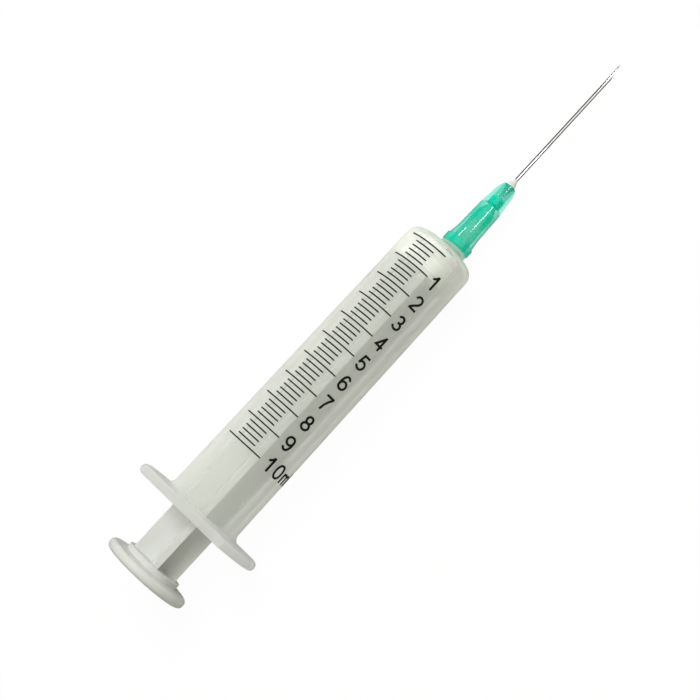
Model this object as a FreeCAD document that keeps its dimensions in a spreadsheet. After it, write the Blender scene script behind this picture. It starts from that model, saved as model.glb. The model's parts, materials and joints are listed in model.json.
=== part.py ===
import FreeCAD, Part
import math
import os
import Sketcher

# Ten millilitre syringe of two moulded pieces with an off-centre slip tip, and its hypodermic needle.
# Every piece is drawn in the syringe's own frame: X runs along the barrel towards the needle, with
# zero at the zero line of the scale, and Z points out of the printed side of the barrel.  The whole
# assembly is then laid down on its thumb rest and the front end of its barrel.

# Driving dimensions: alias, value in millimetres or degrees, meaning.
DIMENSIONS = (
    ("bore_diameter", 15.0, "bore of the barrel"),
    ("wall_at_tip", 0.92, "barrel wall beside the zero line"),
    ("wall_at_flange", 1.26, "barrel wall beside the finger flange, thicker by the mould's draft"),
    ("flange_distance", 73.15, "zero line to the needle side of the finger flange"),
    ("flange_thickness", 2.05, "finger flange"),
    ("flange_radius", 15.8, "reach of the flange's two wings"),
    ("flange_half_depth", 9.8, "axis to each flat side of the flange"),
    ("flange_rim_rounding", 0.85, "edges of the wings"),
    ("flange_flat_rounding", 0.4, "edges of the flat sides of the flange"),
    ("flange_root_rounding", 2.0, "fillet between flange and barrel"),
    ("mouth_chamfer", 0.5, "lead-in at the open end of the bore"),
    ("bead_distance", 66.0, "zero line to the stop bead inside the bore"),
    ("bead_height", 0.14, "stop bead"),
    ("bead_width", 1.0, "stop bead"),
    ("end_apex", 3.6, "zero line to the middle of the closed end, outside"),
    ("end_slope", 8.0, "slope of the closed end"),
    ("end_wall", 1.0, "thickness of the closed end"),
    ("shoulder_rounding", 2.25, "outside corner of the closed end"),
    ("corner_rounding", 1.3, "inside corner of the closed end"),
    ("nozzle_offset", 3.34, "barrel axis to nozzle axis, away from the scale"),
    ("boss_diameter", 6.6, "step at the root of the nozzle"),
    ("boss_front", 5.0, "zero line to the front of the boss"),
    ("boss_root_rounding", 0.8, "fillet between boss and closed end"),
    ("nozzle_root_diameter", 4.42, "nozzle at the front of its boss"),
    ("nozzle_length", 7.7, "nozzle ahead of its boss"),
    ("taper_percent", 6.0, "loss of diameter along the slip taper"),
    ("nozzle_bore", 2.1, "way through the nozzle"),
    ("nozzle_tip_chamfer", 0.25, "front edge of the nozzle"),
    ("seal_clearance", 0.05, "sealing lips to bore, on the radius"),
    ("nose_clearance", 0.25, "plunger nose to the closed end"),
    ("nose_rounding", 1.0, "corner of the plunger nose"),
    ("lip_width", 0.7, "each sealing lip"),
    ("lip_slope_length", 0.5, "bevel behind each sealing lip"),
    ("lip_spacing", 3.6, "front lip to rear lip"),
    ("head_neck_radius", 6.7, "plunger head between its lips"),
    ("head_disc", 1.0, "disc that closes the ribs behind the rear lip"),
    ("rib_span", 11.2, "plunger stem over two opposite ribs"),
    ("rib_thickness", 1.35, "each rib of the stem"),
    ("rib_turn", 29.4, "turn of the stem about the barrel axis as it lies"),
    ("thumb_distance", 88.3, "zero line to the needle side of the thumb rest"),
    ("thumb_thickness", 2.4, "thumb rest"),
    ("thumb_rise", 0.35, "needle side of the thumb rest, from its rim up to its collar"),
    ("thumb_radius", 10.15, "thumb rest"),
    ("thumb_rim_rounding", 0.9, "edges of the thumb rest"),
    ("thumb_ring_radius", 6.4, "grip ring on the pressed face"),
    ("thumb_ring_depth", 0.3, "groove beside the grip ring"),
    ("thumb_ring_width", 0.8, "groove beside the grip ring"),
    ("collar_radius", 6.65, "step between stem and thumb rest"),
    ("collar_thickness", 1.2, "step between stem and thumb rest"),
    ("slip_fit_clearance", 0.03, "nozzle to socket, on the radius"),
    ("hub_gap", 0.2, "boss to the rear of the needle hub"),
    ("hub_length", 18.4, "needle hub"),
    ("hub_flange_radius", 3.47, "rear flange of the needle hub"),
    ("hub_flange_thickness", 1.9, "rear flange of the needle hub"),
    ("hub_flange_rounding", 0.45, "edges of the rear flange"),
    ("hub_neck_radius", 3.2, "hub just ahead of its flange"),
    ("hub_flare_length", 2.6, "from the flange to the slender part"),
    ("hub_slender_radius", 2.84, "hub at the start of its slender part"),
    ("hub_shoulder_radius", 2.64, "hub at the end of its slender part"),
    ("hub_shoulder_distance", 11.9, "rear of the hub to its shoulder"),
    ("hub_shoulder_length", 1.1, "cone from shoulder to core"),
    ("core_radius", 1.37, "front tube of the hub"),
    ("socket_depth", 10.4, "tapered socket of the hub"),
    ("socket_cone_length", 3.2, "cone at the end of the socket"),
    ("fin_run_out", 1.8, "front corners of the fins to the front of the hub"),
    ("fin_front_half_width", 2.14, "fins at their front corners"),
    ("fin_end_half_width", 1.5, "fins where they run out at the front of the hub"),
    ("fin_thickness", 0.8, "two fins beside the core"),
    ("fin_inset", 0.04, "root of the fins below the shoulder of the hub"),
    ("fin_rounding", 0.9, "front corner of each fin"),
    ("hub_turn", 22.8, "turn of the hub about its own axis as it lies"),
    ("cannula_diameter", 0.82, "steel tube, outside"),
    ("cannula_bore", 0.51, "steel tube, inside"),
    ("cannula_reach", 37.65, "steel tube ahead of the hub"),
    ("cannula_insertion", 4.4, "steel tube inside the hub"),
    ("cannula_hole_clearance", 0.03, "steel tube to the hole of the hub, on the radius"),
    ("bevel_angle", 11.0, "slope of the first grind at the point"),
    ("lancet_angle", 17.0, "slope of the two side grinds"),
    ("lancet_turn", 34.0, "turn of each side grind about the tube"),
    ("waist_depth", 0.03, "waist ground into the tube where the adhesive locks it, on the radius"),
    ("waist_overrun", 0.3, "reach of the waist ahead of the adhesive"),
    ("cup_radius", 0.98, "recess for the adhesive in the front of the hub"),
    ("cup_depth", 2.7, "recess for the adhesive in the front of the hub"),
    ("bead_base_radius", 1.3, "adhesive on the front of the hub"),
    ("bead_middle_radius", 0.82, "adhesive where its steep foot ends"),
    ("bead_middle_distance", 0.9, "steep foot of the adhesive, ahead of the hub"),
    ("bead_front_radius", 0.5, "adhesive where it ends on the tube"),
    ("bead_length", 2.0, "adhesive ahead of the hub"),
    ("line_width", 0.3, "each printed line"),
    ("ink_proud", 0.04, "ink above the barrel"),
    ("ink_sunk", 0.03, "ink below the surface of the barrel"),
    ("long_line_span", 9.3, "millilitre lines, across the barrel"),
    ("short_line_span", 4.95, "lines between them, across the barrel"),
)

MILLILITRES = 10
LINES_PER_MILLILITRE = 5
CUBIC_MILLIMETRES = 1000

# How far a cut runs past what it cuts, and how close a place counts as the same.
OVERRUN = 1
NEAR = 1e-3

document = FreeCAD.newDocument("syringe")


def fill_sheet():
    """Put every driving dimension in its own named cell."""
    sheet = document.addObject("Spreadsheet::Sheet", "Dimensions")
    for row, (alias, value, meaning) in enumerate(DIMENSIONS, start=1):
        sheet.set(f"A{row}", alias)
        sheet.set(f"B{row}", str(value))
        sheet.set(f"C{row}", meaning)
        sheet.setAlias(f"B{row}", alias)
    document.recompute()
    return sheet


sheet = fill_sheet()


def size(alias):
    """Name one cell of the sheet in an expression."""
    return f"Dimensions.{alias}"


# Lengths that follow from the driving dimensions, as expressions.
BORE_RADIUS = f"({size('bore_diameter')} / 2)"
TIP_RADIUS = f"({BORE_RADIUS} + {size('wall_at_tip')})"
FLANGE_SIDE_RADIUS = f"({BORE_RADIUS} + {size('wall_at_flange')})"
DRAFT = f"(({FLANGE_SIDE_RADIUS} - {TIP_RADIUS}) / {size('flange_distance')})"
MILLILITRE = f"({CUBIC_MILLIMETRES} / (pi * {BORE_RADIUS}^2))"
FLANGE_FRONT = f"(-{size('flange_distance')})"
FLANGE_REAR = f"({FLANGE_FRONT} - {size('flange_thickness')})"
SHOULDER = f"({size('end_apex')} - {TIP_RADIUS} * tan({size('end_slope')}))"
SHOULDER_RADIUS = f"({TIP_RADIUS} - {DRAFT} * {SHOULDER})"
INNER_APEX = f"({size('end_apex')} - {size('end_wall')})"
INNER_CORNER = f"({INNER_APEX} - {BORE_RADIUS} * tan({size('end_slope')}))"
NOZZLE_TIP = f"({size('boss_front')} + {size('nozzle_length')})"
TAPER = f"({size('taper_percent')} / 100 / 2)"
NOZZLE_ROOT_RADIUS = f"({size('nozzle_root_diameter')} / 2)"
NOZZLE_TIP_RADIUS = f"({NOZZLE_ROOT_RADIUS} - {TAPER} * {size('nozzle_length')})"
HUB_REAR = f"({size('boss_front')} + {size('hub_gap')})"
HUB_FRONT = f"({HUB_REAR} + {size('hub_length')})"
CANNULA_RADIUS = f"({size('cannula_diameter')} / 2)"
CANNULA_TIP = f"({HUB_FRONT} + {size('cannula_reach')})"
CUP_REAR = f"({HUB_FRONT} - {size('cup_depth')})"
ADHESIVE_FRONT = f"({HUB_FRONT} + {size('bead_length')})"
WAIST_FRONT = f"({ADHESIVE_FRONT} + {size('waist_overrun')})"
WAIST_RADIUS = f"({CANNULA_RADIUS} - {size('waist_depth')})"
HOLE_RADIUS = f"({CANNULA_RADIUS} + {size('cannula_hole_clearance')})"
SOCKET_MOUTH_RADIUS = f"({NOZZLE_ROOT_RADIUS} - {TAPER} * {size('hub_gap')} + {size('slip_fit_clearance')})"
SOCKET_END_RADIUS = f"({SOCKET_MOUTH_RADIUS} - {TAPER} * {size('socket_depth')})"
LIP_RADIUS = f"({BORE_RADIUS} - {size('seal_clearance')})"
NOSE_RADIUS = f"({BORE_RADIUS} - {size('nose_clearance')})"
NOSE_APEX = f"({INNER_APEX} - {size('nose_clearance')})"
NOSE_CORNER = f"({NOSE_APEX} - {NOSE_RADIUS} * tan({size('end_slope')}))"
HEAD_REAR = f"(-{size('lip_spacing')} - {size('lip_width')} - {size('head_disc')})"
THUMB_FRONT = f"(-{size('thumb_distance')})"
THUMB_REAR = f"({THUMB_FRONT} - {size('thumb_thickness')})"
THUMB_RIM_FRONT = f"({THUMB_FRONT} - {size('thumb_rise')})"
THUMB_SLOPE = f"atan({size('thumb_rise')} / ({size('thumb_radius')} - {size('collar_radius')}))"

# How the syringe lies: it rolls down until the thumb rest and the rounded shoulder both touch.
SHOULDER_CENTRE = (
    f"({size('end_apex')} - ({TIP_RADIUS} - {size('shoulder_rounding')}) * tan({size('end_slope')})"
    f" - {size('shoulder_rounding')} / cos({size('end_slope')}))"
)
THUMB_CONTACT = f"({THUMB_RIM_FRONT} - {size('thumb_rim_rounding')} * tan(45deg - {THUMB_SLOPE} / 2))"
REST_ANGLE = f"atan(({size('thumb_radius')} - {TIP_RADIUS}) / ({SHOULDER_CENTRE} - {THUMB_CONTACT}))"
REST_HEIGHT = (
    f"({SHOULDER_CENTRE} * sin({REST_ANGLE})"
    f" + ({TIP_RADIUS} - {size('shoulder_rounding')}) * cos({REST_ANGLE}) + {size('shoulder_rounding')})"
)
REAR_END = (
    f"(({THUMB_REAR} + {size('thumb_rim_rounding')}) * cos({REST_ANGLE})"
    f" - ({size('thumb_radius')} - {size('thumb_rim_rounding')}) * sin({REST_ANGLE})"
    f" - {size('thumb_rim_rounding')})"
)
FRONT_END = f"({CANNULA_TIP} * cos({REST_ANGLE}) - {size('nozzle_offset')} * sin({REST_ANGLE}))"


def lay_down(piece):
    """Turn and lift a piece from the syringe's frame to the one in which it lies."""
    piece.Placement = FreeCAD.Placement(FreeCAD.Vector(), FreeCAD.Rotation(FreeCAD.Vector(0, 1, 0), 1))
    piece.setExpression("Placement.Rotation.Angle", REST_ANGLE)
    piece.setExpression("Placement.Base.x", f"-({REAR_END} + {FRONT_END}) / 2")
    piece.setExpression("Placement.Base.z", REST_HEIGHT)


def new_body(name):
    """Start a sub-part that lies where the others do."""
    body = document.addObject("PartDesign::Body", name)
    body.Label = name
    lay_down(body)
    return body


def new_sketch(body, name, plane):
    """Attach an empty sketch to one of the body's own origin planes."""
    sketch = body.newObject("Sketcher::SketchObject", name)
    support = next(item for item in body.Origin.OriginFeatures if item.Role == plane)
    sketch.AttachmentSupport = [(support, "")]
    sketch.MapMode = "FlatFace"
    return sketch


def draw_outline(sketch, corners):
    """Draw a closed outline of straight edges, each corner held by two expressions."""
    points = [FreeCAD.Vector(sheet.evalExpression(x), sheet.evalExpression(y), 0) for x, y in corners]
    first = sketch.GeometryCount
    count = len(points)
    for index, point in enumerate(points):
        sketch.addGeometry(Part.LineSegment(point, points[(index + 1) % count]))
    for index in range(count):
        sketch.addConstraint(
            Sketcher.Constraint("Coincident", first + index, 2, first + (index + 1) % count, 1)
        )
    for index, (x, y) in enumerate(corners):
        hold_point(sketch, first + index, "DistanceX", x, points[index].x, -2)
        hold_point(sketch, first + index, "DistanceY", y, points[index].y, -1)


def hold_point(sketch, edge, kind, expression, value, axis):
    """Hold one coordinate of an edge's start, on the axis itself where it is zero."""
    if expression == "0":
        sketch.addConstraint(Sketcher.Constraint("PointOnObject", edge, 1, axis))
        return
    number = sketch.addConstraint(Sketcher.Constraint(kind, -1, 1, edge, 1, value))
    sketch.setExpression(f"Constraints[{number}]", expression)


def turned(body, kind, name, corners, offset=None):
    """Add or cut a solid of revolution about X, or about a line below it by the offset."""
    sketch = new_sketch(body, f"{name}_outline", "XZ_Plane")
    if offset:
        sketch.setExpression("AttachmentOffset.Base.y", f"-{offset}")
    draw_outline(sketch, corners)
    feature = body.newObject(f"PartDesign::{kind}", name)
    feature.Profile = sketch
    feature.ReferenceAxis = (sketch, ["H_Axis"])
    feature.Angle = 360
    document.recompute()
    return feature


def rounded(body, name, radius, base, wanted):
    """Round the edges of a feature that the test function picks out."""
    edges = [f"Edge{number}" for number, edge in enumerate(base.Shape.Edges, start=1) if wanted(edge)]
    fillet = body.newObject("PartDesign::Fillet", name)
    fillet.Base = (base, edges)
    fillet.setExpression("Radius", radius)
    document.recompute()
    return fillet


def ring_at(axial, radius, offset="0"):
    """Make a test for the full circle about X at one place and radius."""
    place = sheet.evalExpression(axial)
    reach = sheet.evalExpression(radius)
    drop = sheet.evalExpression(offset)

    def matches(edge):
        curve = edge.Curve
        if not isinstance(curve, Part.Circle):
            return False
        centre = FreeCAD.Vector(place, 0, -drop)
        return curve.Center.distanceToPoint(centre) < NEAR and abs(curve.Radius - reach) < NEAR

    return matches


def make_barrel():
    """Barrel with finger flange, closed end, boss and tapered nozzle, moulded in one."""
    body = new_body("barrel")
    outside = turned(body, "Revolution", "outside", (
        (FLANGE_REAR, "0"),
        (FLANGE_REAR, size("flange_radius")),
        (FLANGE_FRONT, size("flange_radius")),
        (FLANGE_FRONT, FLANGE_SIDE_RADIUS),
        (SHOULDER, SHOULDER_RADIUS),
        (size("end_apex"), "0"),
    ))
    rear_rim = ring_at(FLANGE_REAR, size("flange_radius"))
    front_rim = ring_at(FLANGE_FRONT, size("flange_radius"))
    rims = rounded(body, "flange_rims", size("flange_rim_rounding"), outside,
                   lambda edge: rear_rim(edge) or front_rim(edge))
    root = rounded(body, "flange_root", size("flange_root_rounding"), rims,
                   ring_at(FLANGE_FRONT, FLANGE_SIDE_RADIUS))
    shoulder = rounded(body, "shoulder", size("shoulder_rounding"), root,
                       ring_at(SHOULDER, SHOULDER_RADIUS))

    flats = new_sketch(body, "flange_flats_outline", "YZ_Plane")
    reach = f"({size('flange_radius')} + {OVERRUN})"
    for sign in ("", "-"):
        draw_outline(flats, (
            (f"-{reach}", f"{sign}{size('flange_half_depth')}"),
            (reach, f"{sign}{size('flange_half_depth')}"),
            (reach, f"{sign}{reach}"),
            (f"-{reach}", f"{sign}{reach}"),
        ))
    pocket = body.newObject("PartDesign::Pocket", "flange_flats")
    pocket.Profile = flats
    pocket.Type = "ThroughAll"
    pocket.SideType = "Symmetric"
    document.recompute()
    flat_place = sheet.evalExpression(size("flange_half_depth"))

    def flat_edge(edge):
        box = edge.BoundBox
        return box.ZLength < NEAR and abs(abs(box.ZMin) - flat_place) < NEAR

    rounded(body, "flange_flat_edges", size("flange_flat_rounding"), pocket, flat_edge)

    turned(body, "Revolution", "nozzle", (
        (INNER_CORNER, "0"),
        (INNER_CORNER, f"({size('boss_diameter')} / 2)"),
        (size("boss_front"), f"({size('boss_diameter')} / 2)"),
        (size("boss_front"), NOZZLE_ROOT_RADIUS),
        (f"({NOZZLE_TIP} - {size('nozzle_tip_chamfer')})",
         f"({NOZZLE_TIP_RADIUS} + {TAPER} * {size('nozzle_tip_chamfer')})"),
        (NOZZLE_TIP, f"({NOZZLE_TIP_RADIUS} - {size('nozzle_tip_chamfer')})"),
        (NOZZLE_TIP, "0"),
    ), offset=size("nozzle_offset"))

    chamber = turned(body, "Groove", "chamber", (
        (f"({FLANGE_REAR} - {OVERRUN})", "0"),
        (f"({FLANGE_REAR} - {OVERRUN})", f"({BORE_RADIUS} + {size('mouth_chamfer')} + {OVERRUN})"),
        (f"({FLANGE_REAR} + {size('mouth_chamfer')})", BORE_RADIUS),
        (f"(-{size('bead_distance')} - {size('bead_width')} / 2)", BORE_RADIUS),
        (f"(-{size('bead_distance')})", f"({BORE_RADIUS} - {size('bead_height')})"),
        (f"(-{size('bead_distance')} + {size('bead_width')} / 2)", BORE_RADIUS),
        (INNER_CORNER, BORE_RADIUS),
        (INNER_APEX, "0"),
    ))
    rounded(body, "chamber_corner", size("corner_rounding"), chamber, ring_at(INNER_CORNER, BORE_RADIUS))
    body.Tip = turned(body, "Groove", "nozzle_bore", (
        ("0", "0"),
        ("0", f"({size('nozzle_bore')} / 2)"),
        (f"({NOZZLE_TIP} + {OVERRUN})", f"({size('nozzle_bore')} / 2)"),
        (f"({NOZZLE_TIP} + {OVERRUN})", "0"),
    ), offset=size("nozzle_offset"))
    return body


def make_plunger():
    """Plunger with thumb rest, ribbed stem and sealing head, moulded in one."""
    body = new_body("plunger")
    section = new_sketch(body, "stem_outline", "YZ_Plane")
    section.AttachmentOffset = FreeCAD.Placement(
        FreeCAD.Vector(), FreeCAD.Rotation(FreeCAD.Vector(0, 0, 1), 1)
    )
    section.setExpression("AttachmentOffset.Base.z", f"{THUMB_FRONT} - {size('thumb_thickness')} / 2")
    section.setExpression("AttachmentOffset.Rotation.Angle", size("rib_turn"))
    half_span = f"({size('rib_span')} / 2)"
    half_rib = f"({size('rib_thickness')} / 2)"
    quarter = ((half_span, half_rib), (half_rib, half_rib), (half_rib, half_span))
    cross = []
    for turn in range(4):
        for across, along in quarter:
            corner = (across, along)
            for _ in range(turn):
                corner = (f"-{corner[1]}".replace("--", ""), corner[0])
            cross.append(corner)
    draw_outline(section, cross)
    stem = body.newObject("PartDesign::Pad", "stem")
    stem.Profile = section
    stem.setExpression("Length", f"{HEAD_REAR} - ({THUMB_FRONT}) + {size('thumb_thickness')} / 2"
                                 f" + {size('head_disc')} / 2")
    document.recompute()

    ring_inner = f"({size('thumb_ring_radius')} - {size('thumb_ring_width')} / 2)"
    ring_outer = f"({size('thumb_ring_radius')} + {size('thumb_ring_width')} / 2)"
    rest = turned(body, "Revolution", "thumb_rest", (
        (THUMB_REAR, "0"),
        (THUMB_REAR, ring_inner),
        (f"({THUMB_REAR} + {size('thumb_ring_depth')})", size("thumb_ring_radius")),
        (THUMB_REAR, ring_outer),
        (THUMB_REAR, size("thumb_radius")),
        (THUMB_RIM_FRONT, size("thumb_radius")),
        (THUMB_FRONT, size("collar_radius")),
        (f"({THUMB_FRONT} + {size('collar_thickness')})", size("collar_radius")),
        (f"({THUMB_FRONT} + {size('collar_thickness')})", "0"),
    ))
    rear_rim = ring_at(THUMB_REAR, size("thumb_radius"))
    front_rim = ring_at(THUMB_RIM_FRONT, size("thumb_radius"))
    rounded(body, "thumb_rims", size("thumb_rim_rounding"), rest,
            lambda edge: rear_rim(edge) or front_rim(edge))

    rear_lip = f"-{size('lip_spacing')}"
    head = turned(body, "Revolution", "head", (
        (HEAD_REAR, "0"),
        (HEAD_REAR, size("head_neck_radius")),
        (f"({rear_lip} - {size('lip_width')} - {size('lip_slope_length')} / 2)", size("head_neck_radius")),
        (f"({rear_lip} - {size('lip_width')})", LIP_RADIUS),
        (f"({rear_lip})", LIP_RADIUS),
        (f"({rear_lip} + {size('lip_slope_length')})", size("head_neck_radius")),
        (f"(-{size('lip_width')} - {size('lip_slope_length')})", size("head_neck_radius")),
        (f"(-{size('lip_width')})", LIP_RADIUS),
        ("0", LIP_RADIUS),
        ("0", NOSE_RADIUS),
        (NOSE_CORNER, NOSE_RADIUS),
        (NOSE_APEX, "0"),
    ))
    body.Tip = rounded(body, "nose_corner", size("nose_rounding"), head, ring_at(NOSE_CORNER, NOSE_RADIUS))
    return body


def make_needle_hub():
    """Coloured hub that pushes onto the nozzle, with its flange, socket, core and two fins."""
    body = new_body("needle_hub")
    offset = size("nozzle_offset")
    flange_front = f"({HUB_REAR} + {size('hub_flange_thickness')})"
    slender = f"({flange_front} + {size('hub_flare_length')})"
    shoulder = f"({HUB_REAR} + {size('hub_shoulder_distance')})"
    core = f"({shoulder} + {size('hub_shoulder_length')})"
    outside = turned(body, "Revolution", "hub_outside", (
        (HUB_REAR, "0"),
        (HUB_REAR, size("hub_flange_radius")),
        (flange_front, size("hub_flange_radius")),
        (flange_front, size("hub_neck_radius")),
        (slender, size("hub_slender_radius")),
        (shoulder, size("hub_shoulder_radius")),
        (core, size("core_radius")),
        (HUB_FRONT, size("core_radius")),
        (HUB_FRONT, "0"),
    ), offset=offset)
    rear_rim = ring_at(HUB_REAR, size("hub_flange_radius"), offset)
    rounded(body, "hub_flange_rim", size("hub_flange_rounding"), outside, rear_rim)

    fins = new_sketch(body, "fin_outline", "XY_Plane")
    fins.AttachmentOffset = FreeCAD.Placement(
        FreeCAD.Vector(), FreeCAD.Rotation(FreeCAD.Vector(1, 0, 0), 1)
    )
    fins.setExpression("AttachmentOffset.Base.z", f"-{offset}")
    fins.setExpression("AttachmentOffset.Rotation.Angle", size("hub_turn"))
    fin_front = f"({HUB_FRONT} - {size('fin_run_out')})"
    fin_root = f"({shoulder} - {size('hub_shoulder_length')} / 2)"
    root_half_width = f"({size('hub_shoulder_radius')} - {size('fin_inset')})"
    draw_outline(fins, (
        (fin_root, root_half_width),
        (shoulder, root_half_width),
        (fin_front, size("fin_front_half_width")),
        (HUB_FRONT, size("fin_end_half_width")),
        (HUB_FRONT, f"-{size('fin_end_half_width')}"),
        (fin_front, f"-{size('fin_front_half_width')}"),
        (shoulder, f"-{root_half_width}"),
        (fin_root, f"-{root_half_width}"),
    ))
    blade = body.newObject("PartDesign::Pad", "fins")
    blade.Profile = fins
    blade.SideType = "Symmetric"
    blade.setExpression("Length", size("fin_thickness"))
    document.recompute()
    front_place = sheet.evalExpression(fin_front)
    half_width = sheet.evalExpression(size("fin_front_half_width"))
    drop = sheet.evalExpression(offset)

    def fin_corner(edge):
        middle = edge.CenterOfMass
        radius = math.hypot(middle.y, middle.z + drop)
        straight = isinstance(edge.Curve, Part.Line)
        return straight and abs(middle.x - front_place) < NEAR and abs(radius - half_width) < NEAR

    rounded(body, "fin_corners", size("fin_rounding"), blade, fin_corner)

    socket_end = f"({HUB_REAR} + {size('socket_depth')})"
    cone_end = f"({socket_end} + {size('socket_cone_length')})"
    body.Tip = turned(body, "Groove", "hub_inside", (
        (f"({HUB_REAR} - {OVERRUN})", "0"),
        (f"({HUB_REAR} - {OVERRUN})", f"({SOCKET_MOUTH_RADIUS} + {TAPER} * {OVERRUN})"),
        (socket_end, SOCKET_END_RADIUS),
        (cone_end, HOLE_RADIUS),
        (CUP_REAR, HOLE_RADIUS),
        (HUB_FRONT, size("cup_radius")),
        (f"({HUB_FRONT} + {OVERRUN})", size("cup_radius")),
        (f"({HUB_FRONT} + {OVERRUN})", "0"),
    ), offset=offset)
    return body


def make_adhesive():
    """Adhesive that fills the cup of the hub and the waist of the steel tube, and tapers onto the tube."""
    body = new_body("hub_adhesive")
    waist_share = f"({size('waist_overrun')} / ({WAIST_FRONT} - {HUB_FRONT}))"
    body.Tip = turned(body, "Revolution", "adhesive", (
        (CUP_REAR, CANNULA_RADIUS),
        (CUP_REAR, HOLE_RADIUS),
        (HUB_FRONT, size("cup_radius")),
        (HUB_FRONT, size("bead_base_radius")),
        (f"({HUB_FRONT} + {size('bead_middle_distance')})", size("bead_middle_radius")),
        (ADHESIVE_FRONT, size("bead_front_radius")),
        (ADHESIVE_FRONT, f"({CANNULA_RADIUS} - {size('waist_depth')} * {waist_share})"),
        (HUB_FRONT, WAIST_RADIUS),
    ), offset=size("nozzle_offset"))
    return body


def grind(body, name, slope, tip_place, turn):
    """Cut the point with one sloping plane, turned about the steel tube."""
    sketch = new_sketch(body, f"{name}_outline", "XZ_Plane")
    sketch.AttachmentOffset = FreeCAD.Placement(
        FreeCAD.Vector(), FreeCAD.Rotation(FreeCAD.Vector(1, 0, 0), 1)
    )
    sketch.setExpression("AttachmentOffset.Base.y", f"-{size('nozzle_offset')}")
    sketch.setExpression("AttachmentOffset.Rotation.Angle", turn)
    reach = size("cannula_diameter")
    draw_outline(sketch, (
        (tip_place, f"-{CANNULA_RADIUS}"),
        (f"({tip_place} + {reach})", f"-{CANNULA_RADIUS}"),
        (f"({tip_place} + {reach})", reach),
        (f"({tip_place} - ({CANNULA_RADIUS} + {reach}) / tan({slope}))", reach),
    ))
    cut = body.newObject("PartDesign::Pocket", name)
    cut.Profile = sketch
    cut.Type = "ThroughAll"
    cut.SideType = "Symmetric"
    document.recompute()
    return cut


def make_cannula():
    """Steel tube with a waist inside the adhesive and a point of three ground faces."""
    body = new_body("cannula")
    rear = f"({HUB_FRONT} - {size('cannula_insertion')})"
    turned(body, "Revolution", "tube", (
        (rear, f"({size('cannula_bore')} / 2)"),
        (rear, CANNULA_RADIUS),
        (CUP_REAR, CANNULA_RADIUS),
        (HUB_FRONT, WAIST_RADIUS),
        (WAIST_FRONT, CANNULA_RADIUS),
        (CANNULA_TIP, CANNULA_RADIUS),
        (CANNULA_TIP, f"({size('cannula_bore')} / 2)"),
    ), offset=size("nozzle_offset"))
    face_turn = f"(90 + {size('hub_turn')})"
    grind(body, "bevel", size("bevel_angle"), CANNULA_TIP, face_turn)
    side_place = (
        f"({CANNULA_TIP} + {CANNULA_RADIUS} * (1 - cos({size('lancet_turn')})) / tan({size('lancet_angle')}))"
    )
    for side, sign in (("left", "+"), ("right", "-")):
        side_turn = f"({face_turn} {sign} {size('lancet_turn')})"
        body.Tip = grind(body, f"{side}_lancet", size("lancet_angle"), side_place, side_turn)
    return body


def radius_at(place):
    """Give the outside radius of the drafted barrel at one place along it."""
    return f"({TIP_RADIUS} - {DRAFT} * {place})"


def ink_cone(name, growth):
    """Make a cone that follows the barrel's draft, larger or smaller by the growth."""
    front = size("line_width")
    length = f"({MILLILITRES} * {MILLILITRE} + 2 * {size('line_width')})"
    cone = document.addObject("Part::Cone", name)
    cone.Placement = FreeCAD.Placement(
        FreeCAD.Vector(), FreeCAD.Rotation(FreeCAD.Vector(0, 1, 0), -90)
    )
    cone.setExpression("Placement.Base.x", front)
    cone.setExpression("Height", length)
    cone.setExpression("Radius1", f"{radius_at(front)} + {growth}")
    cone.setExpression("Radius2", f"{radius_at(f'({front} - {length})')} + {growth}")
    return cone


def make_scale():
    """Printed lines, one long one at each millilitre and four short ones between."""
    lines = []
    for number in range(MILLILITRES * LINES_PER_MILLILITRE + 1):
        kind = "short" if number % LINES_PER_MILLILITRE else "long"
        span = size(f"{kind}_line_span")
        line = document.addObject("Part::Box", f"{kind}_line")
        line.setExpression("Length", size("line_width"))
        line.setExpression("Width", span)
        line.setExpression("Height", f"2 * {TIP_RADIUS}")
        line.setExpression("Placement.Base.x",
                           f"-{number} / {LINES_PER_MILLILITRE} * {MILLILITRE} - {size('line_width')} / 2")
        line.setExpression("Placement.Base.y", f"-{span} / 2")
        lines.append(line)
    comb = document.addObject("Part::MultiFuse", "comb")
    comb.Shapes = lines
    skin = document.addObject("Part::Cut", "ink_skin")
    skin.Base = ink_cone("ink_outside", size("ink_proud"))
    skin.Tool = ink_cone("ink_inside", f"-{size('ink_sunk')}")
    scale = document.addObject("Part::Common", "graduation_scale")
    scale.Label = "graduation_scale"
    scale.Base = skin
    scale.Tool = comb
    lay_down(scale)
    document.recompute()
    return scale


def check_document():
    """Stop if any object of the document failed to build."""
    for item in document.Objects:
        bad = {"Invalid", "Error"} & set(item.State)
        if bad:
            raise RuntimeError(f"{item.Name} is {bad}")


def export(piece):
    """Write one sound sub-part to its own file."""
    shape = piece.Shape
    if shape.isNull() or not shape.isValid():
        raise RuntimeError(f"{piece.Label} has no sound shape")
    shape.exportStep(os.path.join("parts", f"{piece.Label}.step"))
    box = shape.BoundBox
    print(f"{piece.Label}: {shape.Volume:.1f} mm3, {len(shape.Solids)} solids,"
          f" x {box.XMin:.2f} to {box.XMax:.2f}, y {box.YMin:.2f} to {box.YMax:.2f},"
          f" z {box.ZMin:.2f} to {box.ZMax:.2f}")


pieces = (
    make_barrel(),
    make_scale(),
    make_plunger(),
    make_needle_hub(),
    make_adhesive(),
    make_cannula(),
)
document.recompute()
check_document()
os.makedirs("parts", exist_ok=True)
for piece in pieces:
    export(piece)
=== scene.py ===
import json
import math

import bmesh
import bpy
from bpy.props import FloatProperty, FloatVectorProperty, PointerProperty
from mathutils import Matrix, Vector


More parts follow.
